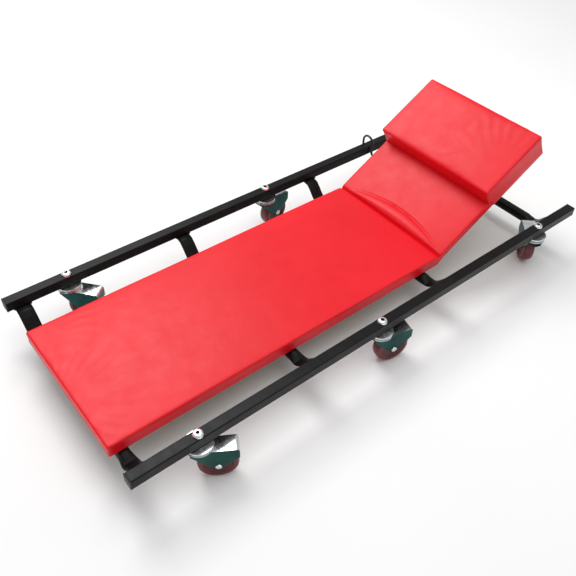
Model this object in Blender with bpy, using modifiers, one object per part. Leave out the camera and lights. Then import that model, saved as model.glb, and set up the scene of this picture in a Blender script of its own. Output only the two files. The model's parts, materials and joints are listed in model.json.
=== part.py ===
"""Mechanics creeper: a low padded board on six swivel casters, with a raised back section.

Run with: blender --background --python part.py
Metres, +Z up. +X points to the head end, +Y to the far side. The origin is on the floor under
the middle of the object.
"""
import math

import bmesh
import bpy
from mathutils import Matrix, Vector

# ---------------------------------------------------------------- driving dimensions
RAIL_LENGTH = 1.016
RAIL_SIZE = 0.019
RAIL_WALL = 0.0015
RAIL_CENTRE_Y = 0.208
RAIL_TOP = 0.100
GAP = 0.0003

PLUG_FLANGE = 0.003
PLUG_SIZE = 0.0194
PLUG_INSERT = 0.014

TUBE_POSITIONS = {"foot": 0.024, "second": 0.342, "third": 0.660, "head": 0.978}
TUBE_RADIUS = 0.011
TUBE_WALL = 0.0015
TUBE_AXIS_Z = 0.0467
TUBE_ROUND_HALF = 0.142
TUBE_TAB_WIDTH = 0.027
TUBE_TAB_THICKNESS = 0.006
SCREW_Y = 0.095
SCREW_HOLE_RADIUS = 0.0024

PAD_HALF_WIDTH = 0.140
PAD_FOOT_X = 0.002
PAD_BOTTOM = 0.058
PAD_TOP = 0.083
HEM = 0.0025
MAIN_BOARD_THICKNESS = 0.015

FOLD_X = 0.700
FOLD_Z = 0.0745
FOLD_CLEARANCE = 0.003
BACK_ANGLE = math.radians(29.5)
BACK_LENGTH = 0.295
BACK_BELOW_AXIS = 0.0085
BACK_ABOVE_AXIS = 0.0085
BACK_BOARD_THICKNESS = 0.007
HEADREST_START = 0.141
HEADREST_THICKNESS = 0.0367
HEADREST_HALF_WIDTH = 0.1385

HINGE_Y = 0.085
HINGE_LENGTH = 0.040
HINGE_LEAF = 0.024
HINGE_SHEET = 0.0013
KNUCKLE_RADIUS = 0.0026
HINGE_PIN_RADIUS = 0.0013

WIRE_RADIUS = 0.0025
PROP_PIVOT_ALONG = 0.080
PROP_FOOT_X = 0.837
PROP_LEG_Y = 0.042
PROP_BAR_Y = 0.058
PROP_BAR_THICKNESS = 0.005
PROP_BAR_HEIGHT = 0.012
PROP_FOOT_CLEARANCE = 0.001
HOOK_INNER_Y = 0.1937
HOOK_OUTER_Y = 0.2223
HOOK_ARCH_Z = 0.106
HOOK_TIP_Z = 0.094

WHEEL_RADIUS = 0.03175
WHEEL_HALF_WIDTH = 0.0105
WHEEL_HUB_HALF = 0.0112
AXLE_RADIUS = 0.003
CASTER_TRAIL = 0.026
YOKE_TOP = 0.072
YOKE_HALF_WIDTH = 0.0135
YOKE_SHEET = 0.002
YOKE_DISC_RADIUS = 0.021
YOKE_END = 0.058
RACE_RADIUS = 0.022
BOLT_RADIUS = 0.005
BOLT_HEAD_RADIUS = 0.00875
SOCKET_RADIUS = 0.0035

# position along the rail from the foot end, side of the creeper, swivel angle in degrees
CASTERS = {
    "near_foot": (0.111, -1, -31.0),
    "near_mid": (0.476, -1, -14.0),
    "near_head": (0.9055, -1, 48.0),
    "far_foot": (0.1105, 1, -50.0),
    "far_mid": (0.546, 1, 10.0),
    "far_head": (0.905, 1, 31.0),
}

FOOT_END = -RAIL_LENGTH / 2


def along(distance_from_foot):
    """X of a place measured from the foot end of the rails."""
    return FOOT_END + distance_from_foot


# ---------------------------------------------------------------- scene and helpers
for old in list(bpy.data.objects):
    bpy.data.objects.remove(old, do_unlink=True)

parts = bpy.data.collections.new("mechanics_creeper")
cutters = bpy.data.collections.new("cutters")
bpy.context.scene.collection.children.link(parts)
bpy.context.scene.collection.children.link(cutters)


def make_material(name, colour, roughness, metallic=0.0):
    material = bpy.data.materials.new(name)
    material.use_nodes = True
    shader = material.node_tree.nodes["Principled BSDF"]
    shader.inputs["Base Color"].default_value = (*colour, 1.0)
    shader.inputs["Roughness"].default_value = roughness
    shader.inputs["Metallic"].default_value = metallic
    return material


MATERIALS = {
    "frame_black": make_material("frame_black", (0.03, 0.032, 0.034), 0.42),
    "plug_black": make_material("plug_black", (0.02, 0.02, 0.02), 0.6),
    "vinyl_red": make_material("vinyl_red", (0.75, 0.02, 0.03), 0.45),
    "board": make_material("board", (0.45, 0.31, 0.18), 0.7),
    "zinc": make_material("zinc", (0.72, 0.74, 0.75), 0.28, 1.0),
    "wheel_red": make_material("wheel_red", (0.22, 0.012, 0.012), 0.4),
    "wire_black": make_material("wire_black", (0.02, 0.02, 0.022), 0.35),
}


def add_part(name, mesh, material, parent=None, location=(0, 0, 0), turn=None):
    """Place a mesh as a named part, in its parent's space when it has a parent."""
    part = bpy.data.objects.new(name, mesh)
    parts.objects.link(part)
    part.parent = parent
    part.location = location
    if turn is not None:
        part.rotation_euler = turn
    if not mesh.materials:
        mesh.materials.append(MATERIALS[material])
    return part


def add_pivot(name, location, turn=(0, 0, 0), parent=None):
    pivot = bpy.data.objects.new(name, None)
    cutters.objects.link(pivot)
    pivot.empty_display_size = 0.02
    pivot.parent = parent
    pivot.location = location
    pivot.rotation_euler = turn
    pivot.hide_render = True
    return pivot


def mesh_from(bm, name):
    mesh = bpy.data.meshes.new(name)
    bm.to_mesh(mesh)
    bm.free()
    return mesh


def box_mesh(low, high, bevel=0.0, axis=None, segments=3):
    """Box between two corners. Its edges, or those along one axis, can be rounded."""
    size = [high[i] - low[i] for i in range(3)]
    centre = [(high[i] + low[i]) / 2 for i in range(3)]
    bm = bmesh.new()
    bmesh.ops.create_cube(bm, size=1.0, matrix=Matrix.Translation(centre) @ Matrix.Diagonal((*size, 1)))
    if bevel:
        edges = []
        for edge in bm.edges:
            run = (edge.verts[1].co - edge.verts[0].co).normalized()
            if axis is None or abs(run[axis]) > 0.9:
                edges.append(edge)
        bmesh.ops.bevel(bm, geom=edges, offset=bevel, segments=segments, profile=0.5, affect="EDGES")
    return mesh_from(bm, "box")


def cylinder_mesh(radius, start, end, segments=24):
    """Cylinder between two points."""
    start, end = Vector(start), Vector(end)
    turn = (end - start).to_track_quat("Z", "Y").to_matrix().to_4x4()
    bm = bmesh.new()
    bmesh.ops.create_cone(bm, cap_ends=True, segments=segments, radius1=radius, radius2=radius,
                          depth=(end - start).length, matrix=Matrix.Translation((start + end) / 2) @ turn)
    return mesh_from(bm, "cylinder")


def evaluated(part):
    """Turn an object with its modifiers into one plain mesh, and remove the object."""
    graph = bpy.context.evaluated_depsgraph_get()
    mesh = bpy.data.meshes.new_from_object(part.evaluated_get(graph))
    mesh.transform(part.matrix_world)
    bpy.data.objects.remove(part, do_unlink=True)
    return mesh


def turned_mesh(profile, steps=32):
    """Turn a profile of (radius, height) points about Z. It runs down its outer side."""
    mesh = bpy.data.meshes.new("turned")
    points = [(radius, 0.0, height) for radius, height in profile]
    closed = profile[0][0] > 0
    edges = [(i, i + 1) for i in range(len(points) - 1)]
    if closed:
        edges.append((len(points) - 1, 0))
    mesh.from_pydata(points, edges, [])
    shape = bpy.data.objects.new("turned", mesh)
    cutters.objects.link(shape)
    screw = shape.modifiers.new("Screw", "SCREW")
    screw.steps = screw.render_steps = steps
    screw.use_merge_vertices = True
    screw.merge_threshold = 0.00001
    return evaluated(shape)


def plate_mesh(outline, low, high):
    """Extrude an outline of (x, z) points along Y, from low to high."""
    curve = bpy.data.curves.new("plate", "CURVE")
    curve.dimensions = "2D"
    curve.fill_mode = "BOTH"
    curve.extrude = (high - low) / 2
    spline = curve.splines.new("POLY")
    spline.points.add(len(outline) - 1)
    for point, (x, z) in zip(spline.points, outline):
        point.co = (x, z, 0.0, 1.0)
    spline.use_cyclic_u = True
    shape = bpy.data.objects.new("plate", curve)
    cutters.objects.link(shape)
    shape.rotation_euler = (math.radians(90), 0, 0)
    shape.location = (0, (low + high) / 2, 0)
    bpy.context.view_layer.update()
    return weld(evaluated(shape))


def weld(mesh):
    bm = bmesh.new()
    bm.from_mesh(mesh)
    bmesh.ops.remove_doubles(bm, verts=bm.verts, dist=0.000005)
    bmesh.ops.recalc_face_normals(bm, faces=bm.faces)
    bm.to_mesh(mesh)
    bm.free()
    return mesh


def arc(centre, radius, start, end, steps):
    """Points on an arc, angles in degrees."""
    points = []
    for i in range(steps + 1):
        angle = math.radians(start + (end - start) * i / steps)
        points.append((centre[0] + radius * math.cos(angle), centre[1] + radius * math.sin(angle)))
    return points


def combine(mesh, others, operation):
    """Cut meshes out of a mesh, or join them to it, and return the plain result."""
    target = bpy.data.objects.new("target", mesh)
    cutters.objects.link(target)
    tools = []
    for other in others:
        tool = bpy.data.objects.new("cutter", other)
        cutters.objects.link(tool)
        tool.hide_render = True
        tool.display_type = "WIRE"
        step = target.modifiers.new(operation.title(), "BOOLEAN")
        step.object = tool
        step.operation = operation
        step.solver = "EXACT"
        tools.append(tool)
    bpy.context.view_layer.update()
    result = evaluated(target)
    for tool in tools:
        bpy.data.objects.remove(tool, do_unlink=True)
    return result


def smooth(mesh, angle=35):
    mesh.shade_smooth()
    mesh.set_sharp_from_angle(angle=math.radians(angle))
    return mesh


# ---------------------------------------------------------------- frame
def rail_mesh(side):
    """Hollow square tube with a clearance hole at each caster bolt."""
    half = RAIL_SIZE / 2
    inner = half - RAIL_WALL
    middle_z = RAIL_TOP - half
    y = side * RAIL_CENTRE_Y
    outer = box_mesh((FOOT_END, y - half, middle_z - half), (-FOOT_END, y + half, RAIL_TOP), 0.002, axis=0)
    hollow = box_mesh((FOOT_END - 0.01, y - inner, middle_z - inner), (-FOOT_END + 0.01, y + inner, middle_z + inner))
    tools = [hollow]
    for place, caster_side, _ in CASTERS.values():
        if caster_side == side:
            x = along(place)
            tools.append(cylinder_mesh(BOLT_RADIUS + GAP, (x, y, RAIL_TOP - 0.03), (x, y, RAIL_TOP + 0.01)))
    return combine(outer, tools, "DIFFERENCE")


def plug_mesh():
    """End plug with its flange at x 0 to PLUG_FLANGE and its insert towards -X."""
    half = PLUG_SIZE / 2
    insert = RAIL_SIZE / 2 - RAIL_WALL - GAP
    flange = box_mesh((GAP / 3, -half, -half), (PLUG_FLANGE, half, half), 0.0014, segments=3)
    stub = box_mesh((-PLUG_INSERT, -insert, -insert), (PLUG_FLANGE / 2, insert, insert))
    return combine(flange, [stub], "UNION")


def ease(t):
    t = min(max(t, 0.0), 1.0)
    return t * t * (3 - 2 * t)


def tube_section(y):
    """Centre height, half width and half thickness of a cross tube at a distance |y| from its middle."""
    tab_z = RAIL_TOP - RAIL_SIZE - GAP - TUBE_TAB_THICKNESS / 2
    flat = ease((abs(y) - TUBE_ROUND_HALF) / 0.018)
    rise = ease((abs(y) - 0.158) / 0.038)
    z = TUBE_AXIS_Z + (tab_z - TUBE_AXIS_Z) * rise
    half_width = TUBE_RADIUS + (TUBE_TAB_WIDTH / 2 - TUBE_RADIUS) * flat
    half_thickness = TUBE_RADIUS + (TUBE_TAB_THICKNESS / 2 - TUBE_RADIUS) * flat
    return z, half_width, half_thickness


def tube_mesh():
    """Cross tube along Y at x 0, round in the middle, pressed flat and bent up at its ends.

    Rings are lofted along the tube, because its section changes from round to flat.
    """
    sides = 16
    end = RAIL_CENTRE_Y + 0.0005
    outboard = [TUBE_ROUND_HALF + 0.008 * i for i in range(8)] + [end]
    stations = [-y for y in reversed(outboard)] + outboard
    bm = bmesh.new()
    rings = []
    for y in stations:
        z, half_width, half_thickness = tube_section(y)
        slope = (tube_section(y + 0.001)[0] - tube_section(y - 0.001)[0]) / 0.002
        lean = math.atan(slope)
        ring = []
        for i in range(sides):
            angle = 2 * math.pi * i / sides
            across, up = half_width * math.cos(angle), half_thickness * math.sin(angle)
            ring.append(bm.verts.new((across, y - up * math.sin(lean), z + up * math.cos(lean))))
        rings.append(ring)
    for first, second in zip(rings, rings[1:]):
        for i in range(sides):
            j = (i + 1) % sides
            bm.faces.new((first[i], first[j], second[j], second[i]))
    bm.faces.new(rings[0])
    bm.faces.new(list(reversed(rings[-1])))
    bmesh.ops.recalc_face_normals(bm, faces=bm.faces)
    outer = mesh_from(bm, "cross_tube")
    reach = TUBE_ROUND_HALF - 0.004
    tools = [cylinder_mesh(TUBE_RADIUS - TUBE_WALL, (0, -reach, TUBE_AXIS_Z), (0, reach, TUBE_AXIS_Z), 16)]
    for y in (-SCREW_Y, SCREW_Y):
        tools.append(cylinder_mesh(SCREW_HOLE_RADIUS, (0, y, TUBE_AXIS_Z - 0.02), (0, y, TUBE_AXIS_Z + 0.02), 12))
    return smooth(combine(outer, tools, "DIFFERENCE"))


def build_frame():
    for side, name in ((-1, "near"), (1, "far")):
        add_part(f"{name}_rail", rail_mesh(side), "frame_black")
        plug = plug_mesh()
        place = (-FOOT_END, side * RAIL_CENTRE_Y, RAIL_TOP - RAIL_SIZE / 2)
        add_part(f"{name}_head_plug", plug, "plug_black", location=place)
        place = (FOOT_END, side * RAIL_CENTRE_Y, RAIL_TOP - RAIL_SIZE / 2)
        add_part(f"{name}_foot_plug", plug, "plug_black", location=place, turn=(0, 0, math.pi))
    tube = tube_mesh()
    for name, place in TUBE_POSITIONS.items():
        add_part(f"{name}_cross_tube", tube, "frame_black", location=(along(place), 0, 0))
    low_x = along(TUBE_POSITIONS["third"]) + TUBE_RADIUS + GAP
    high_x = along(TUBE_POSITIONS["head"]) - TUBE_RADIUS - GAP
    for side, name in ((-1, "near"), (1, "far")):
        y, half = side * PROP_BAR_Y, PROP_BAR_THICKNESS / 2
        bar = box_mesh((low_x, y - half, TUBE_AXIS_Z - PROP_BAR_HEIGHT / 2),
                       (high_x, y + half, TUBE_AXIS_Z + PROP_BAR_HEIGHT / 2), 0.0008, axis=0, segments=1)
        add_part(f"{name}_prop_bar", bar, "frame_black")


# ---------------------------------------------------------------- pad
def build_main_pad():
    low_x, high_x = along(PAD_FOOT_X), along(FOLD_X - FOLD_CLEARANCE)
    half = PAD_HALF_WIDTH
    board_top = PAD_BOTTOM + MAIN_BOARD_THICKNESS
    board = box_mesh((low_x + HEM, -half + HEM, PAD_BOTTOM), (high_x - HEM, half - HEM, board_top))
    holes = []
    for place in (TUBE_POSITIONS["foot"], TUBE_POSITIONS["third"]):
        for y in (-SCREW_Y, SCREW_Y):
            x = along(place)
            holes.append(cylinder_mesh(SCREW_HOLE_RADIUS, (x, y, PAD_BOTTOM - 0.01), (x, y, PAD_BOTTOM + 0.012), 12))
    add_part("main_board", combine(board, holes, "DIFFERENCE"), "board")

    pad = box_mesh((low_x, -half, PAD_BOTTOM), (high_x, half, PAD_TOP), 0.004, segments=2)
    pocket = box_mesh((low_x + HEM - GAP, -half + HEM - GAP, PAD_BOTTOM - 0.02),
                      (high_x - HEM + GAP, half - HEM + GAP, board_top + GAP))
    tools = [pocket]
    for y in (-HINGE_Y, HINGE_Y):
        reach = HINGE_LENGTH / 2 + 0.001
        tools.append(box_mesh((along(FOLD_X) - HINGE_LEAF - 0.002, y - reach, PAD_BOTTOM - 0.02),
                              (along(FOLD_X) + 0.01, y + reach, FOLD_Z + KNUCKLE_RADIUS + 0.0005)))
    add_part("main_cushion", combine(pad, tools, "DIFFERENCE"), "vinyl_red")


def screw_mesh():
    """Pan-head wood screw, its tip up, with its head under z 0."""
    profile = [(0.0, 0.0315), (0.0006, 0.0315), (0.0021, 0.0285), (0.0021, 0.0), (0.0042, 0.0),
               (0.0040, -0.0014), (0.0026, -0.0024), (0.0, -0.0026)]
    body = turned_mesh(profile, 12)
    slot = box_mesh((-0.0025, -0.0004, -0.004), (0.0025, 0.0004, -0.0016))
    cross = box_mesh((-0.0004, -0.0025, -0.004), (0.0004, 0.0025, -0.0016))
    return combine(body, [slot, cross], "DIFFERENCE")


def build_pad_screws():
    screw = screw_mesh()
    head_z = TUBE_AXIS_Z - TUBE_RADIUS - GAP
    for row in ("foot", "third"):
        for side, name in ((-1, "near"), (1, "far")):
            place = (along(TUBE_POSITIONS[row]), side * SCREW_Y, head_z)
            add_part(f"pad_screw_{row}_{name}", screw, "zinc", location=place)


# ---------------------------------------------------------------- back section
def leaf_mesh(knuckles, direction):
    """Hinge leaf. The axis is Y through the origin and the sheet lies just under it on one side."""
    inner = KNUCKLE_RADIUS + 0.0006
    half = HINGE_LENGTH / 2
    edge_a, edge_b = sorted((direction * inner, direction * HINGE_LEAF))
    sheet = box_mesh((edge_a, -half, -HINGE_SHEET), (edge_b, half, 0.0))
    joined = []
    for low, high in knuckles:
        root_a, root_b = sorted((0.0, direction * (inner + 0.001)))
        joined.append(box_mesh((root_a, low, -HINGE_SHEET), (root_b, high, 0.0)))
        joined.append(cylinder_mesh(KNUCKLE_RADIUS, (0, low, 0), (0, high, 0), 16))
    leaf = combine(sheet, joined, "UNION")
    bore = cylinder_mesh(HINGE_PIN_RADIUS + 0.0002, (0, -half - 0.01, 0), (0, half + 0.01, 0), 16)
    return combine(leaf, [bore], "DIFFERENCE")


def clip_mesh():
    """Saddle clip that holds the prop's top bar against the underside of the back board."""
    foot, sheet, wide = 0.013, 0.0012, 0.006
    inner, outer = WIRE_RADIUS + GAP, WIRE_RADIUS + GAP + sheet
    top = WIRE_RADIUS + GAP / 2
    under = top - sheet
    outer_angle = math.degrees(math.asin(under / outer))
    inner_angle = math.degrees(math.asin(min(top / inner, 0.999)))
    outline = [(-foot, top), (-foot, under)]
    outline += arc((0, 0), outer, 180 - outer_angle, 360 + outer_angle, 14)
    outline += [(foot, under), (foot, top)]
    outline += arc((0, 0), inner, 360 + inner_angle, 180 - inner_angle, 14)
    return plate_mesh(outline, -wide, wide)


def build_back(pivot):
    """Parts of the back section, in the hinge's own space, as they lie when it is folded flat."""
    half = PAD_HALF_WIDTH
    start, end = FOLD_CLEARANCE, BACK_LENGTH
    low_z = -BACK_BELOW_AXIS
    board_top = low_z + BACK_BOARD_THICKNESS
    board = box_mesh((start + HEM, -half + HEM, low_z), (end - HEM, half - HEM, board_top))
    add_part("back_board", board, "board", pivot)

    pad = box_mesh((start, -half, low_z), (end, half, BACK_ABOVE_AXIS), 0.0035, segments=2)
    pocket = box_mesh((start + HEM - GAP, -half + HEM - GAP, low_z - 0.02),
                      (end - HEM + GAP, half - HEM + GAP, board_top + GAP))
    tools = [pocket]
    for y in (-HINGE_Y, HINGE_Y):
        reach = HINGE_LENGTH / 2 + 0.001
        tools.append(box_mesh((-0.01, y - reach, low_z - 0.02),
                              (HINGE_LEAF + 0.002, y + reach, KNUCKLE_RADIUS + 0.0005)))
    add_part("back_cushion", combine(pad, tools, "DIFFERENCE"), "vinyl_red", pivot)

    block_low = BACK_ABOVE_AXIS + GAP
    block = box_mesh((HEADREST_START, -HEADREST_HALF_WIDTH, block_low),
                     (end, HEADREST_HALF_WIDTH, block_low + HEADREST_THICKNESS), 0.005, segments=2)
    add_part("headrest", block, "vinyl_red", pivot)

    clip = clip_mesh()
    for y, name in ((-0.025, "near"), (0.025, "far")):
        place = (PROP_PIVOT_ALONG, y, low_z - WIRE_RADIUS - GAP)
        add_part(f"{name}_prop_clip", clip, "zinc", pivot, location=place)


def build_hinges(pivot):
    half = HINGE_LENGTH / 2
    inner = HINGE_LENGTH / 4
    fixed = leaf_mesh([(-half, -inner), (inner, half)], -1)
    moving = leaf_mesh([(-inner + GAP, inner - GAP)], 1)
    pin = cylinder_mesh(HINGE_PIN_RADIUS, (0, -half, 0), (0, half, 0), 16)
    for y, name in ((-HINGE_Y, "near"), (HINGE_Y, "far")):
        place = (along(FOLD_X), y, FOLD_Z)
        add_part(f"{name}_hinge_fixed_leaf", fixed, "zinc", location=place)
        add_part(f"{name}_hinge_pin", pin, "zinc", location=place)
        add_part(f"{name}_hinge_moving_leaf", moving, "zinc", pivot, location=(0, y, 0))


# ---------------------------------------------------------------- prop wire
def rounded_route(corners, radius, steps=5):
    """Replace each inner corner of a route with an arc, as a bent wire has."""
    points = [Vector(corners[0])]
    for before, corner, after in zip(corners, corners[1:], corners[2:]):
        corner = Vector(corner)
        back, ahead = (Vector(before) - corner).normalized(), (Vector(after) - corner).normalized()
        half_angle = back.angle(ahead) / 2
        setback = radius / math.tan(half_angle)
        centre = corner + (back + ahead).normalized() * (radius / math.sin(half_angle))
        first = (corner + back * setback - centre).normalized()
        last = (corner + ahead * setback - centre).normalized()
        for i in range(steps + 1):
            points.append(centre + first.slerp(last, i / steps) * radius)
    points.append(Vector(corners[-1]))
    return points


def prop_places():
    """World places of the prop's pivot and of its foot, at rest."""
    drop = BACK_BELOW_AXIS + WIRE_RADIUS + GAP
    pivot_x = along(FOLD_X) + PROP_PIVOT_ALONG * math.cos(BACK_ANGLE) + drop * math.sin(BACK_ANGLE)
    pivot_z = FOLD_Z + PROP_PIVOT_ALONG * math.sin(BACK_ANGLE) - drop * math.cos(BACK_ANGLE)
    foot_z = TUBE_AXIS_Z + PROP_BAR_HEIGHT / 2 + WIRE_RADIUS + PROP_FOOT_CLEARANCE
    return (pivot_x, pivot_z), (along(PROP_FOOT_X), foot_z)


def build_prop():
    """One bent wire: a near foot, two legs, the top bar between them, and a loop over the far rail."""
    (pivot_x, pivot_z), (foot_x, foot_z) = prop_places()
    leg = PROP_LEG_Y
    arch_radius = (HOOK_OUTER_Y - HOOK_INNER_Y) / 2
    middle = (HOOK_OUTER_Y + HOOK_INNER_Y) / 2
    corners = [
        (foot_x, -0.070, foot_z), (foot_x, -leg, foot_z), (pivot_x, -leg, pivot_z),
        (pivot_x, leg, pivot_z), (foot_x, leg, foot_z), (foot_x, 0.146, foot_z),
        (foot_x, HOOK_INNER_Y, foot_z + 0.026), (foot_x, HOOK_INNER_Y, HOOK_ARCH_Z),
    ]
    route = rounded_route(corners, 0.006)
    for y, z in arc((middle, HOOK_ARCH_Z), arch_radius, 180, 0, 10)[1:]:
        route.append(Vector((foot_x, y, z)))
    route.append(Vector((foot_x, HOOK_OUTER_Y, HOOK_TIP_Z)))

    curve = bpy.data.curves.new("prop_wire", "CURVE")
    curve.dimensions = "3D"
    curve.bevel_depth = WIRE_RADIUS
    curve.bevel_resolution = 2
    curve.use_fill_caps = True
    spline = curve.splines.new("POLY")
    spline.points.add(len(route) - 1)
    origin = Vector((pivot_x, 0, pivot_z))
    for point, place in zip(spline.points, route):
        point.co = (*(place - origin), 1.0)
    shape = bpy.data.objects.new("wire_route", curve)
    cutters.objects.link(shape)
    bpy.context.view_layer.update()
    wire = smooth(weld(evaluated(shape)), 60)
    add_part("prop_wire", wire, "wire_black", location=origin)


# ---------------------------------------------------------------- casters
def bolt_mesh():
    """Button-head bolt with a hexagon socket, its head's underside at z 0."""
    dome = arc((0, 0), 1.0, 90, 0, 4)
    profile = [(0.0, 0.0050), (0.0042, 0.0050)]
    profile += [(0.0042 + 0.00455 * x, 0.0008 + 0.0042 * z) for x, z in dome[1:]]
    profile += [(BOLT_HEAD_RADIUS, 0.0), (BOLT_RADIUS, 0.0), (BOLT_RADIUS, -0.0285), (0.0, -0.0285)]
    socket = cylinder_mesh(SOCKET_RADIUS, (0, 0, 0.0016), (0, 0, 0.01), 6)
    return combine(turned_mesh(profile, 18), [socket], "DIFFERENCE")


def race_mesh():
    """Swivel race that the bolt holds to the rail, with the kingpin that carries the yoke.

    Its top is at z 0 and the yoke's top plate sits round the kingpin.
    """
    plate = 0.0022
    yoke_top = -(RAIL_TOP - RAIL_SIZE - GAP - YOKE_TOP)
    neck_low = yoke_top - YOKE_SHEET - GAP
    profile = [
        (BOLT_RADIUS + GAP, 0.0), (RACE_RADIUS, 0.0), (RACE_RADIUS, -plate), (0.019, -0.0048),
        (0.0175, yoke_top + GAP), (0.007, yoke_top + GAP), (0.007, neck_low), (0.0105, neck_low),
        (0.0100, neck_low - 0.0018), (0.0078, neck_low - 0.0026), (BOLT_RADIUS + GAP, neck_low - 0.0026),
    ]
    return turned_mesh(profile, 20)


def yoke_mesh():
    """Hooded fork. The swivel axis is Z through the origin, z 0 is the top and the trail is along +X."""
    axle_z = WHEEL_RADIUS - YOKE_TOP
    corner = 0.005
    outline = [(-0.014, 0.0)]
    outline += arc((YOKE_END - corner, -corner), corner, 90, 0, 4)
    outline += [(YOKE_END, -0.020)]
    outline += arc((CASTER_TRAIL, axle_z), 0.0085, -15, -165, 8)
    outline += [(-0.014, -0.010)]
    body = plate_mesh(outline, -YOKE_HALF_WIDTH, YOKE_HALF_WIDTH)
    disc = cylinder_mesh(YOKE_DISC_RADIUS, (0, 0, -YOKE_SHEET), (0, 0, 0), 24)
    body = combine(body, [disc], "UNION")
    inner = YOKE_HALF_WIDTH - YOKE_SHEET
    pocket = box_mesh((-0.030, -inner, -0.070), (YOKE_END - YOKE_SHEET, inner, -YOKE_SHEET))
    kingpin = cylinder_mesh(0.007 + GAP, (0, 0, -0.01), (0, 0, 0.01), 20)
    axle = cylinder_mesh(AXLE_RADIUS + GAP / 2, (CASTER_TRAIL, -0.03, axle_z), (CASTER_TRAIL, 0.03, axle_z), 16)
    return combine(body, [pocket, kingpin, axle], "DIFFERENCE")


def axle_mesh():
    """Riveted axle along Z, with a domed head at each end."""
    face = YOKE_HALF_WIDTH + GAP / 2
    top = [(0.0, face + 0.0024), (0.0030, face + 0.0020), (0.0050, face + 0.0009), (0.0053, face), (AXLE_RADIUS, face)]
    bottom = [(radius, -height) for radius, height in reversed(top)]
    return turned_mesh(top + bottom, 12)


def wheel_mesh():
    """Wheel about Z, with round shoulders, a recessed web and a hub."""
    shoulder = 0.004
    outer = WHEEL_RADIUS - shoulder
    edge = WHEEL_HALF_WIDTH - shoulder
    upper = [(AXLE_RADIUS + GAP / 2, WHEEL_HUB_HALF), (0.0085, WHEEL_HUB_HALF), (0.0098, 0.0070), (0.0215, 0.0070),
             (0.0235, WHEEL_HALF_WIDTH)]
    upper += arc((outer, edge), shoulder, 90, 0, 2)
    lower = [(radius, -height) for radius, height in reversed(upper)]
    return turned_mesh(upper + lower, 24)


def build_casters():
    bolt, race = bolt_mesh(), race_mesh()
    yoke, axle, wheel = yoke_mesh(), axle_mesh(), wheel_mesh()
    axle_turn = (math.radians(-90), 0, 0)
    for name, (place, side, angle) in CASTERS.items():
        x, y = along(place), side * RAIL_CENTRE_Y
        add_part(f"{name}_bolt", bolt, "zinc", location=(x, y, RAIL_TOP + GAP / 2))
        add_part(f"{name}_race", race, "zinc", location=(x, y, RAIL_TOP - RAIL_SIZE - GAP))
        swivel = add_pivot(f"{name}_swivel_axis", (x, y, YOKE_TOP), (0, 0, math.radians(angle)))
        roll = add_pivot(f"{name}_roll_axis", (CASTER_TRAIL, 0, WHEEL_RADIUS - YOKE_TOP), parent=swivel)
        add_part(f"{name}_yoke", yoke, "zinc", swivel)
        add_part(f"{name}_axle", axle, "zinc", roll, turn=axle_turn)
        add_part(f"{name}_wheel", wheel, "wheel_red", roll, turn=axle_turn)


# ---------------------------------------------------------------- assembly
build_frame()
build_main_pad()
build_pad_screws()
back_pivot = add_pivot("back_fold_axis", (along(FOLD_X), 0, FOLD_Z), (0, -BACK_ANGLE, 0))
build_back(back_pivot)
build_hinges(back_pivot)
build_prop()
build_casters()
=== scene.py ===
"""The looks of the mechanics creeper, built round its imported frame. Metres, +Z up, +X to the head end."""

import json
import math

import bmesh
import bpy
import numpy as np
from mathutils import Matrix, Vector, noise


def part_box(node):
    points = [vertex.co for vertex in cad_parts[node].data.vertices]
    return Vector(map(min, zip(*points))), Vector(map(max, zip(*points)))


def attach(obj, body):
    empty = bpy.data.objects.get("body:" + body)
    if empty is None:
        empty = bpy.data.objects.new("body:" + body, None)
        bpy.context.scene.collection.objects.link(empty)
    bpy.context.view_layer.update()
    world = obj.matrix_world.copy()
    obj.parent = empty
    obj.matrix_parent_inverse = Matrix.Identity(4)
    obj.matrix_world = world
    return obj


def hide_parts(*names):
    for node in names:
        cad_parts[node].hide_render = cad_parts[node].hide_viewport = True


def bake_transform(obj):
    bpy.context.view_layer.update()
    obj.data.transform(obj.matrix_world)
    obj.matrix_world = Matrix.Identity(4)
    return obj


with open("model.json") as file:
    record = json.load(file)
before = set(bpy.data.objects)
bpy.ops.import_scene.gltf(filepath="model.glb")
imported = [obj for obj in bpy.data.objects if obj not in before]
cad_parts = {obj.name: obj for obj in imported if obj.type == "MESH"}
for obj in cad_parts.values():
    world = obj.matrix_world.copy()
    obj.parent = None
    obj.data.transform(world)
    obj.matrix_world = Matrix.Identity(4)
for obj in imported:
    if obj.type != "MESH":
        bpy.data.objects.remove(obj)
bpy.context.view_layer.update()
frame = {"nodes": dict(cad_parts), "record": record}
nodes = frame["nodes"]
joints = {joint["name"]: joint for joint in frame["record"]["behaviour"]["joints"]}

# ---------------------------------------------------------------- places read from the frame
fold = Vector(joints["back_fold"]["pos_m"])
back_angle = math.radians(joints["back_fold"]["range_deg"][1])
main_low, main_high = (Vector(corner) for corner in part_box("main_cushion"))


def to_flat(points):
    """Back-section points as they lie once the section is folded flat."""
    dx, dz = points[:, 0] - fold.x, points[:, 2] - fold.z
    cosine, sine = math.cos(back_angle), math.sin(back_angle)
    flat_x = fold.x + dx * cosine + dz * sine
    flat_z = fold.z - dx * sine + dz * cosine
    return np.stack([flat_x, points[:, 1], flat_z], axis=1)


def flat_box(node):
    """Lowest and highest corner of a back-section node, folded flat."""
    mesh = nodes[node].data
    points = np.array([nodes[node].matrix_world @ v.co for v in mesh.vertices])
    flat = to_flat(points)
    return flat.min(axis=0), flat.max(axis=0)


back_low, back_high = flat_box("back_cushion")
rest_low, rest_high = flat_box("headrest")

# ---------------------------------------------------------------- materials


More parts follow.
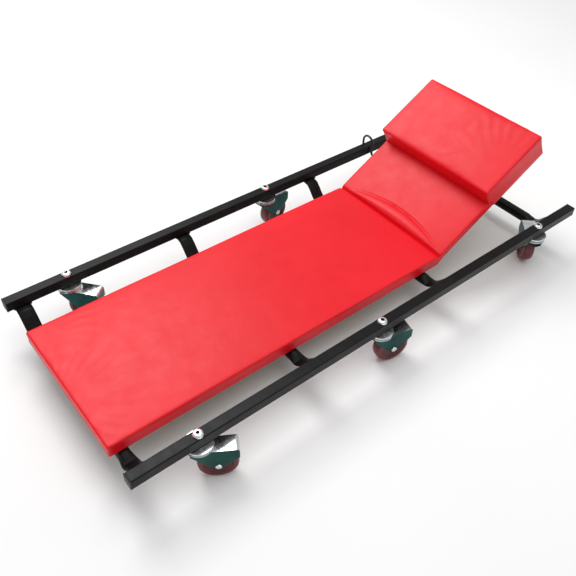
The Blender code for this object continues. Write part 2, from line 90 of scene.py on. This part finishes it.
class Nodes:
    """A material's node tree, with short calls for the nodes used here."""

    def __init__(self, name):
        self.material = bpy.data.materials.new(name)
        self.material.use_nodes = True
        self.tree = self.material.node_tree
        self.shader = self.tree.nodes["Principled BSDF"]
        self.place = self.add("ShaderNodeTexCoord").outputs["Object"]

    def add(self, kind, **settings):
        node = self.tree.nodes.new(kind)
        for key, value in settings.items():
            setattr(node, key, value)
        return node

    def link(self, output, socket):
        self.tree.links.new(output, socket)

    def noise(self, scale, detail=3.0, roughness=0.5, stretch=None):
        node = self.add("ShaderNodeTexNoise")
        node.inputs["Scale"].default_value = scale
        node.inputs["Detail"].default_value = detail
        node.inputs["Roughness"].default_value = roughness
        self.link(self.stretched(stretch), node.inputs["Vector"])
        return node.outputs["Fac"]

    def stretched(self, stretch):
        if stretch is None:
            return self.place
        mapping = self.add("ShaderNodeMapping")
        mapping.inputs["Scale"].default_value = stretch
        self.link(self.place, mapping.inputs["Vector"])
        return mapping.outputs["Vector"]

    def cells(self, scale):
        """Distance to the nearest edge between cells, for leather-like grain."""
        node = self.add("ShaderNodeTexVoronoi", feature="DISTANCE_TO_EDGE")
        node.inputs["Scale"].default_value = scale
        self.link(self.place, node.inputs["Vector"])
        return node.outputs["Distance"]

    def ramp(self, fac, stops):
        """Colour ramp. Each stop is (position, colour or grey)."""
        node = self.add("ShaderNodeValToRGB")
        elements = node.color_ramp.elements
        while len(elements) < len(stops):
            elements.new(0.5)
        for element, (position, colour) in zip(elements, stops):
            element.position = position
            element.color = (colour, colour, colour, 1) if isinstance(colour, float) else (*colour, 1)
        self.link(fac, node.inputs["Fac"])
        return node.outputs["Color"]

    def bump(self, height, distance, strength=1.0, over=None):
        node = self.add("ShaderNodeBump")
        node.inputs["Distance"].default_value = distance
        node.inputs["Strength"].default_value = strength
        self.link(height, node.inputs["Height"])
        if over is not None:
            self.link(over, node.inputs["Normal"])
        return node.outputs["Normal"]

    def set(self, **values):
        """Shader inputs by name, with _ for a space: a number, a colour or a node's output."""
        for key, value in values.items():
            socket = self.shader.inputs[key.replace("_", " ")]
            if isinstance(value, bpy.types.NodeSocket):
                self.link(value, socket)
            elif isinstance(value, tuple):
                socket.default_value = (*value, 1)
            else:
                socket.default_value = value
        return self


def make_vinyl():
    n = Nodes("red_vinyl")
    tone = n.ramp(n.noise(5.0, 4.0), [(0.3, (0.72, 0.005, 0.012)), (0.7, (0.82, 0.008, 0.019))])
    gloss = n.ramp(n.noise(38.0, 3.0), [(0.3, 0.33), (0.7, 0.42)])
    grain = n.ramp(n.cells(760.0), [(0.0, 0.0), (0.22, 1.0)])
    normal = n.bump(grain, 0.00005, 0.55)
    normal = n.bump(n.noise(260.0, 2.0), 0.0002, 0.35, over=normal)
    normal = n.bump(n.noise(22.0, 3.0, 0.55), 0.0012, 0.5, over=normal)
    n.set(Base_Color=tone, Roughness=gloss, Normal=normal, Specular_IOR_Level=0.28)
    return n.material


def make_frame_paint():
    n = Nodes("black_frame_paint")
    tone = n.ramp(n.noise(30.0, 4.0), [(0.3, (0.002, 0.0025, 0.0025)), (0.75, (0.006, 0.0065, 0.006))])
    gloss = n.ramp(n.noise(60.0, 4.0, 0.6), [(0.3, 0.30), (0.7, 0.44)])
    normal = n.bump(n.noise(650.0, 2.0), 0.00012, 0.35)
    normal = n.bump(n.noise(45.0, 2.0, stretch=(0.3, 1, 1)), 0.0004, 0.25, over=normal)
    n.set(Base_Color=tone, Roughness=gloss, Normal=normal, Specular_IOR_Level=0.18)
    return n.material


def make_plug_plastic():
    n = Nodes("black_plug_plastic")
    tone = n.ramp(n.noise(120.0, 3.0), [(0.3, (0.010, 0.010, 0.010)), (0.7, (0.018, 0.018, 0.018))])
    normal = n.bump(n.noise(900.0, 2.0), 0.0001, 0.4)
    n.set(Base_Color=tone, Roughness=n.ramp(n.noise(80.0), [(0.3, 0.45), (0.7, 0.6)]), Normal=normal)
    return n.material


def make_zinc(name, silver, streaks):
    """Zinc plating on small steel parts, clouded between the silver and a darker tone."""
    n = Nodes(name)
    cloud = n.noise(streaks, 5.0, 0.6)
    dark = tuple(0.78 * channel for channel in silver)
    tone = n.ramp(cloud, [(0.3, dark), (0.7, silver)])
    gloss = n.ramp(n.noise(170.0, 4.0), [(0.3, 0.16), (0.7, 0.30)])
    normal = n.bump(n.noise(300.0, 3.0), 0.00008, 0.3)
    n.set(Base_Color=tone, Roughness=gloss, Metallic=1.0, Normal=normal)
    return n.material


def make_yoke_steel():
    """Plated steel, silver where faces look up and dark teal on the side plates: painted top light and side
    shade.
    """
    n = Nodes("yoke_steel")
    facing = n.add("ShaderNodeSeparateXYZ")
    n.link(n.add("ShaderNodeNewGeometry").outputs["Normal"], facing.inputs["Vector"])
    # Painted light by facing: faces that look up get the silver tone, side faces the dark teal tone.
    painted_top_light = n.ramp(facing.outputs["Z"], [(0.12, 0.0), (0.5, 1.0)])
    bright = n.ramp(n.noise(70.0, 5.0, 0.6), [(0.3, (0.62, 0.64, 0.66)), (0.7, (0.88, 0.89, 0.90))])
    # Painted shade and reflection on the side plates, not a plating colour.
    painted_side_shade = n.ramp(n.noise(24.0, 3.0), [(0.3, (0.010, 0.050, 0.052)), (0.7, (0.020, 0.105, 0.078))])
    mix = n.add("ShaderNodeMix", data_type="RGBA")
    n.link(painted_top_light, mix.inputs[0])
    n.link(painted_side_shade, mix.inputs[6])
    n.link(bright, mix.inputs[7])
    gloss = n.ramp(n.noise(120.0, 3.0), [(0.3, 0.14), (0.7, 0.26)])
    normal = n.bump(n.noise(55.0, 2.0), 0.0012, 0.35)
    n.set(Base_Color=mix.outputs[2], Roughness=gloss, Metallic=1.0, Normal=normal)
    return n.material


def make_wheel_plastic():
    n = Nodes("dark_red_wheel")
    tone = n.ramp(n.noise(40.0, 4.0), [(0.3, (0.085, 0.002, 0.004)), (0.7, (0.145, 0.004, 0.007))])
    gloss = n.ramp(n.noise(90.0, 4.0, 0.6), [(0.3, 0.24), (0.7, 0.42)])
    normal = n.bump(n.noise(420.0, 3.0), 0.00015, 0.35)
    n.set(Base_Color=tone, Roughness=gloss, Normal=normal, Specular_IOR_Level=0.6)
    return n.material


def make_board():
    n = Nodes("plywood_board")
    grain = n.noise(26.0, 6.0, 0.62, stretch=(0.25, 3.0, 3.0))
    dark, middle, pale = (0.23, 0.135, 0.065), (0.40, 0.26, 0.14), (0.52, 0.36, 0.20)
    tone = n.ramp(grain, [(0.25, dark), (0.5, middle), (0.8, pale)])
    normal = n.bump(grain, 0.0006, 0.5)
    n.set(Base_Color=tone, Roughness=0.72, Normal=normal)
    return n.material


def make_wire():
    n = Nodes("black_wire")
    tone = n.ramp(n.noise(60.0, 3.0), [(0.3, (0.006, 0.006, 0.007)), (0.7, (0.014, 0.014, 0.016))])
    normal = n.bump(n.noise(500.0, 2.0), 0.0001, 0.3)
    n.set(Base_Color=tone, Roughness=n.ramp(n.noise(90.0), [(0.3, 0.22), (0.7, 0.38)]), Normal=normal)
    return n.material


def make_socket_shade():
    # Painted shade for the recess of a bolt head's hexagon socket.
    n = Nodes("socket_shade")
    tone = n.ramp(n.noise(300.0, 2.0), [(0.3, (0.012, 0.012, 0.012)), (0.7, (0.03, 0.03, 0.03))])
    n.set(Base_Color=tone, Roughness=0.6, Metallic=0.3)
    return n.material


vinyl = make_vinyl()
paint = make_frame_paint()
plug_plastic = make_plug_plastic()
bright_zinc = make_zinc("bright_zinc", (0.90, 0.91, 0.92), 60.0)
dull_zinc = make_zinc("dull_zinc", (0.60, 0.61, 0.62), 90.0)
yoke_steel = make_yoke_steel()
wheel_plastic = make_wheel_plastic()
board = make_board()
wire = make_wire()
socket_shade = make_socket_shade()

SOCKET_REACH = 0.0036      # of the hexagon socket in a bolt's head
SOCKET_DEPTH = 0.0045
EDGE_ROUNDING = 0.0006     # of stamped steel
SMOOTH_ANGLE = 40


def shade_socket(bolt):
    """Gives the faces inside a bolt head's socket a dark material: painted shade in the recess."""
    low, high = (Vector(corner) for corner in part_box(bolt))
    centre = (low + high) / 2
    mesh = nodes[bolt].data
    mesh.materials.append(socket_shade)
    for face in mesh.polygons:
        away = math.hypot(face.center.x - centre.x, face.center.y - centre.y)
        below = high.z - face.center.z
        if away < SOCKET_REACH and 0.0002 < abs(below) and below < SOCKET_DEPTH:
            face.material_index = 1


def smooth(mesh, degrees=SMOOTH_ANGLE):
    """Shades the mesh smooth, with sharp edges past an angle."""
    mesh.shade_smooth()
    mesh.set_sharp_from_angle(angle=math.radians(degrees))


def finish_nodes():
    """Gives each carried-over CAD node its material and smooth shading."""
    by_ending = [
        ("_rail", paint), ("_tube", paint), ("_bar", paint), ("_plug", plug_plastic),
        ("_board", board), ("_wire", wire), ("_yoke", yoke_steel),
        ("_bolt", bright_zinc), ("_race", bright_zinc), ("_axle", bright_zinc),
        ("_leaf", dull_zinc), ("_pin", dull_zinc), ("_clip", dull_zinc),
    ]
    for name, node in nodes.items():
        material = dull_zinc if name.startswith("pad_screw") else None
        for ending, choice in by_ending:
            if name.endswith(ending):
                material = choice
        if material is None:
            continue
        node.data.materials.clear()
        node.data.materials.append(material)
        smooth(node.data)
        if name.endswith("_bolt"):
            shade_socket(name)
        if name.endswith(("_yoke", "_race", "_clip")):
            bevel = node.modifiers.new("rounded_edges", "BEVEL")
            bevel.width = EDGE_ROUNDING
            bevel.segments = 2
            bevel.limit_method = "ANGLE"
            bevel.angle_limit = math.radians(SMOOTH_ANGLE)


finish_nodes()


# ---------------------------------------------------------------- vinyl covers
SKIN = 0.0011              # thickness of the vinyl
HEM_LIP = 0.0042           # how far a cover is turned under its board
HEM_RADIUS = 0.0018
FOLD_REACH = 0.007         # the cover bends over this distance each side of the hinge line
SEAM_SETBACK = 0.0065      # from the headrest's front to where its cover reaches down the sides
COVER_SMOOTH_ANGLE = 50


def add_mesh(name, mesh, material):
    mesh.materials.append(material)
    piece = bpy.data.objects.new(name, mesh)
    bpy.context.scene.collection.objects.link(piece)
    return piece


def applied(piece):
    """The piece's mesh with its modifiers applied, and none left on it."""
    graph = bpy.context.evaluated_depsgraph_get()
    final = bpy.data.meshes.new_from_object(piece.evaluated_get(graph))
    piece.modifiers.clear()
    piece.data = final
    return piece


def run_of(low, high, step, fine=None):
    """Positions from low to high, about a step apart, closer together round the fine place."""
    places = list(np.linspace(low, high, max(2, round((high - low) / step) + 1)))
    if fine is not None:
        centre, reach, small = fine
        places = [p for p in places if abs(p - centre) > reach]
        places += list(np.arange(centre - reach, centre + reach + small / 2, small))
    return sorted(places)


class Profile:
    """How a cover turns over its edge: inset and depth by the distance past the flat top."""

    def __init__(self, edge, depth, pull):
        """edge is the top edge's radius, and pull how far the sides draw in half-way down."""
        self.edge, self.depth, self.pull = edge, depth, pull
        self.turn = edge * math.pi / 2
        self.side = depth - edge - HEM_RADIUS
        self.hem = HEM_RADIUS * math.pi / 2
        self.distances = list(np.linspace(0, self.turn, 6)[1:])
        self.distances += list(self.turn + np.linspace(0, self.side, 6)[1:])
        self.distances += list(self.turn + self.side + np.linspace(0, self.hem, 3)[1:])
        self.distances += list(self.turn + self.side + self.hem + np.linspace(0, HEM_LIP, 3)[1:])

    def at(self, d):
        """(distance out from the flat top's edge, share of the full depth) at a distance past it."""
        if d <= self.turn:
            angle = d / self.edge
            out, down = self.edge * math.sin(angle), self.edge * (1 - math.cos(angle))
        elif d <= self.turn + self.side:
            t = (d - self.turn) / self.side
            out, down = self.edge - self.pull * math.sin(math.pi * t), self.edge + t * self.side
        elif d <= self.turn + self.side + self.hem:
            angle = (d - self.turn - self.side) / HEM_RADIUS
            out = self.edge - HEM_RADIUS * (1 - math.cos(angle))
            down = self.edge + self.side + HEM_RADIUS * math.sin(angle)
        else:
            out = self.edge - HEM_RADIUS - (d - self.turn - self.side - self.hem)
            down = self.depth
        return out, down / self.depth


def cover_mesh(name, low, high, profile, step, shape, bottom_of, fine=None):
    """A skin over a box's top and sides, folded under it by a lip.

    shape(x, y) is the height added on top, and bottom_of(x) the cover's lowest height there.
    fine is a place along X, the reach each side of it and the closer step there.
    """
    top = high[2]
    inner_x = (low[0] + profile.edge, high[0] - profile.edge)
    inner_y = (low[1] + profile.edge, high[1] - profile.edge)

    def lane(inner, fine_place=None):
        before = [(inner[0], -1, d) for d in reversed(profile.distances)]
        middle = [(p, 0, 0.0) for p in run_of(inner[0], inner[1], step, fine_place)]
        after = [(inner[1], 1, d) for d in profile.distances]
        return before + middle + after

    bm = bmesh.new()
    grid = []
    for x, side_x, dx in lane(inner_x, fine):
        row = []
        for y, side_y, dy in lane(inner_y):
            d = max(dx, dy)
            out, share = profile.at(d)
            direction = Vector((side_x * dx, side_y * dy))
            if direction.length > 0:
                direction.normalize()
            px, py = x + direction.x * out, y + direction.y * out
            lift = shape(px, py) * max(0.0, 1 - share * 3)
            height = top + lift - share * (top + lift - bottom_of(px))
            row.append(bm.verts.new((px, py, height)))
        grid.append(row)
    for first, second in zip(grid, grid[1:]):
        for j in range(len(first) - 1):
            bm.faces.new((first[j], second[j], second[j + 1], first[j + 1]))
    bmesh.ops.recalc_face_normals(bm, faces=bm.faces)
    mesh = bpy.data.meshes.new(name)
    bm.to_mesh(mesh)
    bm.free()
    return mesh


def ease(t):
    t = min(max(t, 0.0), 1.0)
    return t * t * (3 - 2 * t)


def thicken(piece, thickness):
    skin = piece.modifiers.new("skin", "SOLIDIFY")
    skin.thickness = thickness
    skin.offset = -1
    return applied(piece)


def crown(x, y, low, high, rise, power=4):
    """Height of a filled cushion over its flat top: nearly level, and falling near the edges."""
    u = 2 * (x - low[0]) / (high[0] - low[0]) - 1
    v = 2 * (y - low[1]) / (high[1] - low[1]) - 1
    return rise * max(0.0, 1 - abs(u) ** (power * 4)) * max(0.0, 1 - abs(v) ** power)


def soft_waves(x, y, scale, height):
    """Shallow unevenness of the foam."""
    return height * noise.noise(Vector((x * scale, y * scale, 0.37)))


def fan_of_creases(x, y, root, reach, spread, count, height):
    """Fine creases that fan out from a root point, strongest at a distance from it."""
    dx, dy = x - root[0], y - root[1]
    distance = math.hypot(dx, dy)
    angle = math.atan2(dy, dx)
    wobble = 1.4 * noise.noise(Vector((x * 26, y * 26, 1.7)))
    near = math.exp(-((distance - reach) / spread) ** 2)
    return height * near * math.sin(angle * count + wobble * 3)


GROOVE_DEPTH, GROOVE_HALF = 0.0052, 0.0042
RIDGE_START, RIDGE_WIDTH, RIDGE_HEIGHT = 0.003, 0.029, 0.0046
RIDGE_CENTRE_Y, RIDGE_HALF = -0.008, 0.135
RIDGE_LINE_DEPTH, RIDGE_LINE_HALF = 0.0014, 0.0022
EDGE_PULL, EDGE_PULL_REACH = 0.0016, 0.03


def fold_shape(x, y):
    """The pinched fold across the pad, with a lens-shaped ridge of slack vinyl behind it."""
    past = x - fold.x
    groove = -GROOVE_DEPTH * math.exp(-((past + 0.001) / GROOVE_HALF) ** 2)
    across = max(0.0, 1 - ((y - RIDGE_CENTRE_Y) / RIDGE_HALF) ** 2)
    width = RIDGE_WIDTH * across + 0.0001
    along = min(max((past - RIDGE_START) / width, 0.0), 1.0)
    ridge = RIDGE_HEIGHT * across * math.sin(math.pi * along ** 0.8)
    line = -RIDGE_LINE_DEPTH * across * math.exp(-((past - RIDGE_START - width) / RIDGE_LINE_HALF) ** 2)
    pull = -EDGE_PULL * math.exp(-abs(past) / EDGE_PULL_REACH) * (1 - across)
    return groove + ridge + line + pull


def build_pad_cover():
    """One vinyl cover over both boards, bent at the fold as it is at rest."""
    low = np.array(main_low)
    high = np.array([back_high[0], main_high.y, main_high.z - 0.0008])

    def shape(x, y):
        height = crown(x, y, low, high, 0.0022) + soft_waves(x, y, 9.0, 0.0007)
        height += fan_of_creases(x, y, (low[0] - 0.03, -0.03), 0.095, 0.035, 34, 0.00028)
        height += fan_of_creases(x, y, (low[0] + 0.02, 0.12), 0.07, 0.03, 22, 0.00016)
        return height + fold_shape(x, y)

    def bottom_of(x):
        share = ease((x - fold.x + 0.006) / 0.012)
        return main_low.z + share * (back_low[2] - main_low.z) - 0.0002

    profile = Profile(edge=0.0036, depth=high[2] - low[2], pull=0.0005)
    round_fold = (fold.x + 0.008, 0.034, 0.0016)
    mesh = cover_mesh("pad_cover", low, high, profile, 0.004, shape, bottom_of, round_fold)
    piece = thicken(add_mesh("pad_cover", mesh, vinyl), SKIN)
    bend_at_fold(piece.data)
    smooth(piece.data, COVER_SMOOTH_ANGLE)
    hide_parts("main_cushion", "back_cushion")
    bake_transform(piece)


def bend_at_fold(mesh):
    """Raises everything past the fold by the back section's angle."""
    for vertex in mesh.vertices:
        p = vertex.co
        share = ease((p.x - fold.x + FOLD_REACH) / (2 * FOLD_REACH))
        turn = back_angle * share
        dx, dz = p.x - fold.x, p.z - fold.z
        p.x = fold.x + dx * math.cos(turn) - dz * math.sin(turn)
        p.z = fold.z + dx * math.sin(turn) + dz * math.cos(turn)


def build_headrest():
    """The headrest's own cover, which also reaches down over the back cushion's sides."""
    low = np.array([rest_low[0], rest_low[1] - 0.0028, back_low[2] - 0.0006])
    high = np.array([back_high[0] + 0.0012, rest_high[1] + 0.0028, rest_high[2] - 0.0004])

    def shape(x, y):
        height = crown(x, y, low, high, 0.0032, 3) + soft_waves(x, y, 12.0, 0.0009)
        return height + fan_of_creases(x, y, (low[0] + 0.05, -0.11), 0.10, 0.04, 26, 0.00022)

    def bottom_of(x):
        share = ease((x - low[0] - SEAM_SETBACK) / 0.003)
        return rest_low[2] + share * (low[2] - rest_low[2])

    profile = Profile(edge=0.0038, depth=high[2] - low[2], pull=0.0007)
    mesh = cover_mesh("headrest_cover", low, high, profile, 0.0035, shape, bottom_of)
    piece = thicken(add_mesh("headrest_cover", mesh, vinyl), SKIN)
    raise_up = Matrix.Rotation(-back_angle, 4, "Y")
    piece.data.transform(Matrix.Translation(fold) @ raise_up @ Matrix.Translation(-fold))
    smooth(piece.data, COVER_SMOOTH_ANGLE)
    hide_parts("headrest")
    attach(piece, "back")


build_pad_cover()
build_headrest()


# ---------------------------------------------------------------- wheels
def lathe_mesh(name, profile, steps):
    """A closed profile of (radius, height) points turned about Z, in the same order each time."""
    bm = bmesh.new()
    rings = []
    for i in range(steps):
        angle = 2 * math.pi * i / steps
        cosine, sine = math.cos(angle), math.sin(angle)
        rings.append([bm.verts.new((radius * cosine, radius * sine, height)) for radius, height in profile])
    for i, ring in enumerate(rings):
        following = rings[(i + 1) % steps]
        for j, corner in enumerate(ring):
            k = (j + 1) % len(profile)
            bm.faces.new((corner, following[j], following[k], ring[k]))
    bmesh.ops.recalc_face_normals(bm, faces=bm.faces)
    mesh = bpy.data.meshes.new(name)
    bm.to_mesh(mesh)
    bm.free()
    return mesh


def arc(centre, radius, start, end, steps):
    """Points of a circular arc between two angles in degrees."""
    angles = [math.radians(start + (end - start) * i / steps) for i in range(steps + 1)]
    return [(centre[0] + radius * math.cos(a), centre[1] + radius * math.sin(a)) for a in angles]


WHEEL_RADIUS, WHEEL_HALF, WHEEL_SHOULDER = 0.0317, 0.0105, 0.0036
BORE_RADIUS, HUB_RADIUS, HUB_HALF = 0.0032, 0.0082, 0.0111
WEB_OUTER, WEB_HALF = 0.0195, 0.0066
RIM_INNER = 0.0232
BREAK = 0.0006             # small bevel at the hub's and the rim's corners
WHEEL_STEPS = 72


def wheel_profile():
    """Half profile from the bore outwards, mirrored for the other face."""
    hub = [(BORE_RADIUS, HUB_HALF), (HUB_RADIUS - BREAK, HUB_HALF), (HUB_RADIUS, HUB_HALF - BREAK)]
    web = [(HUB_RADIUS + 0.0009, WEB_HALF + 0.0009), (HUB_RADIUS + 0.0022, WEB_HALF + 0.0002)]
    web += [(WEB_OUTER, WEB_HALF), (WEB_OUTER + 0.0017, WEB_HALF + 0.0008)]
    rim = [(RIM_INNER - 0.0008, WHEEL_HALF - BREAK), (RIM_INNER, WHEEL_HALF)]
    rim += [(WHEEL_RADIUS - WHEEL_SHOULDER - 0.001, WHEEL_HALF)]
    shoulder_centre = (WHEEL_RADIUS - WHEEL_SHOULDER * 1.3, WHEEL_HALF - WHEEL_SHOULDER)
    rim += arc(shoulder_centre, WHEEL_SHOULDER, 78, 22, 5)
    tread = [(WHEEL_RADIUS - 0.0004, WHEEL_HALF - WHEEL_SHOULDER - 0.0016), (WHEEL_RADIUS, 0.0035)]
    upper = hub + web + rim + tread
    return upper + [(r, -h) for r, h in reversed(upper)]


def build_wheels():
    """A finer wheel round each caster's axle joint."""
    for name, joint in joints.items():
        if not name.endswith("_roll"):
            continue
        body = joint["child"]
        piece = add_mesh(body + "_tread", lathe_mesh(body, wheel_profile(), WHEEL_STEPS), wheel_plastic)
        turn = Vector(joint["axis"]).to_track_quat("Z", "Y").to_matrix().to_4x4()
        piece.data.transform(Matrix.Translation(joint["pos_m"]) @ turn)
        smooth(piece.data)
        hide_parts(body)
        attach(piece, body)


build_wheels()


# ---------------------------------------------------------------- welds
WELD_DROPS = 5
DROP_SIZE = (0.0026, 0.0022, 0.0017)
DROP_BELOW_RAIL = 0.0009
DROP_WANDER = 0.0003       # how far the drops stray from a straight row


def build_welds():
    """A weld bead along each side of every cross-tube tab, under the rails."""
    for tube in ("foot", "second", "third", "head"):
        low, high = (Vector(corner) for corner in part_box(tube + "_cross_tube"))
        for side, rail in ((-1, "near"), (1, "far")):
            rail_low, rail_high = (Vector(corner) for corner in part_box(rail + "_rail"))
            tab_end = high.y if side > 0 else low.y
            inner_face = rail_low.y if side > 0 else rail_high.y
            bm = bmesh.new()
            for x in (low.x, high.x):
                for i in range(WELD_DROPS):
                    y = inner_face + (tab_end - inner_face) * (0.1 + 0.75 * i / (WELD_DROPS - 1))
                    place = (x + DROP_WANDER * math.sin(i * 2.3), y, rail_low.z - DROP_BELOW_RAIL)
                    drop = Matrix.Translation(place) @ Matrix.Diagonal((*DROP_SIZE, 1))
                    bmesh.ops.create_icosphere(bm, subdivisions=2, radius=1, matrix=drop)
            mesh = bpy.data.meshes.new("weld")
            bm.to_mesh(mesh)
            bm.free()
            piece = add_mesh(f"{rail}_{tube}_weld", mesh, paint)
            smooth(piece.data, 80)
            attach(piece, "frame")


build_welds()


# ---------------------------------------------------------------- floor, light and camera
FLOOR_SIZE = 30
FLOOR_GAP = 0.0005         # between the wheels and the floor, so that their faces don't meet


def build_floor():
    bpy.ops.mesh.primitive_plane_add(size=FLOOR_SIZE, location=(0, 0, -FLOOR_GAP))
    floor = bpy.context.object
    floor.name = "floor"
    n = Nodes("pale_floor")
    tone = n.ramp(n.noise(1.5, 2.0), [(0.3, (0.90, 0.90, 0.90)), (0.7, (0.93, 0.93, 0.93))])
    n.set(Base_Color=tone, Roughness=0.9, Specular_IOR_Level=0.1)
    floor.data.materials.append(n.material)


def add_area(name, place, target, size, power):
    """A rectangular lamp at a place, turned towards its target."""
    light = bpy.data.lights.new(name, "AREA")
    light.shape = "RECTANGLE"
    light.size, light.size_y = size
    light.energy = power
    lamp = bpy.data.objects.new(name, light)
    bpy.context.scene.collection.objects.link(lamp)
    lamp.location = place
    lamp.rotation_euler = (Vector(target) - Vector(place)).to_track_quat("-Z", "Y").to_euler()


def build_light():
    world = bpy.data.worlds.new("studio")
    world.use_nodes = True
    background = world.node_tree.nodes["Background"]
    background.inputs["Color"].default_value = (1.0, 1.0, 1.0, 1)
    background.inputs["Strength"].default_value = 0.54
    bpy.context.scene.world = world
    add_area("overhead", (0.0, 1.45, 2.1), (-0.1, 0, 0), (1.3, 1.2), 31)
    add_area("ceiling", (0.3, -0.3, 3.2), (0, 0, 0), (3.0, 3.0), 37)
    bpy.context.scene.view_settings.view_transform = "Standard"


CAMERA_PLACE = (-0.66096, -0.70029, 0.91964)
CAMERA_RIGHT = (0.775338, -0.630211, 0.041043)
CAMERA_DOWN = (-0.413737, -0.555963, -0.720921)
CAMERA_FORWARD = (0.477151, 0.541976, -0.691801)
CAMERA_LENS = 42.38
CAMERA_SHIFT = (-0.0144, -0.001)


def build_camera():
    data = bpy.data.cameras.new("camera")
    data.sensor_width = 36
    data.lens = CAMERA_LENS
    data.shift_x, data.shift_y = CAMERA_SHIFT
    data.clip_start = 0.01
    camera = bpy.data.objects.new("camera", data)
    bpy.context.scene.collection.objects.link(camera)
    axes = Matrix((CAMERA_RIGHT, -Vector(CAMERA_DOWN), -Vector(CAMERA_FORWARD))).transposed()
    camera.matrix_world = Matrix.Translation(CAMERA_PLACE) @ axes.to_4x4()
    bpy.context.scene.camera = camera


build_floor()
build_light()
build_camera()
